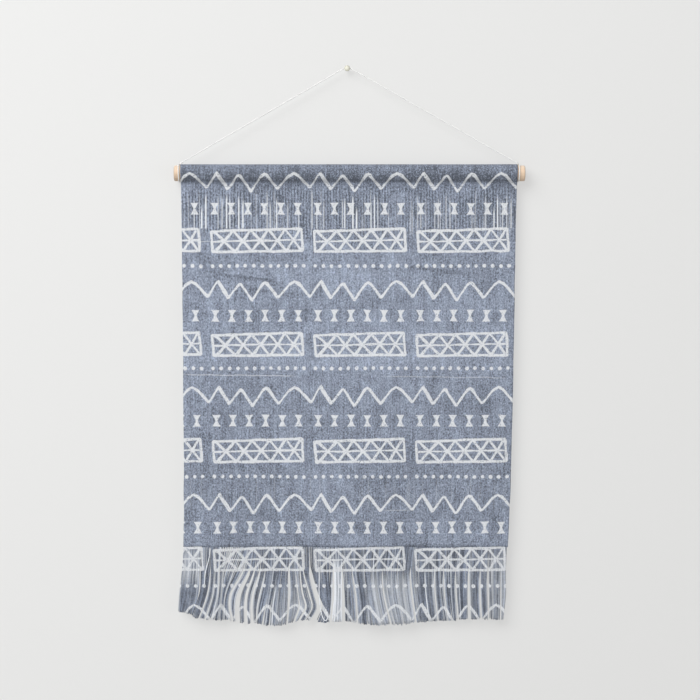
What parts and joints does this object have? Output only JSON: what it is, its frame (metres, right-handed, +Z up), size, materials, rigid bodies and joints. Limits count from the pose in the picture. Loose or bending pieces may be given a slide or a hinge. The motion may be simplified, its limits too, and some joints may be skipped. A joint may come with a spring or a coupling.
{
  "type": "mud cloth wall hanging on a wooden dowel, with its hanging cord and nail",
  "caption": "Printed cotton hanging with bands of zigzags, bow-ties, crossed boxes and dots, sleeved over a wooden dowel, with a loose yarn fringe and a cord that hangs on a nail.",
  "frame": {"origin": "axis of the nail at the wall plane, which is the middle of the flat back end of its shank", "axes": "+Z up, +X to the right along the dowel as seen from the front, and the printed face looks along -Y, away from the wall"},
  "size_m": [0.45, 0.0248, 0.7198],
  "materials": {
    "printed_cotton": "matte woven cotton, faded indigo with white print",
    "loose_yarn": "matte cotton warp yarns, faded indigo with white print",
    "pale_wood": "sanded, unvarnished",
    "white_cord": "matte twisted cotton cord",
    "brass": "satin"
  },
  "bodies": {
    "root": {"cloth": "printed_cotton", "fringe": "loose_yarn", "dowel": "pale_wood", "cord": "white_cord", "nail": "brass"}
  },
  "joints": []
}
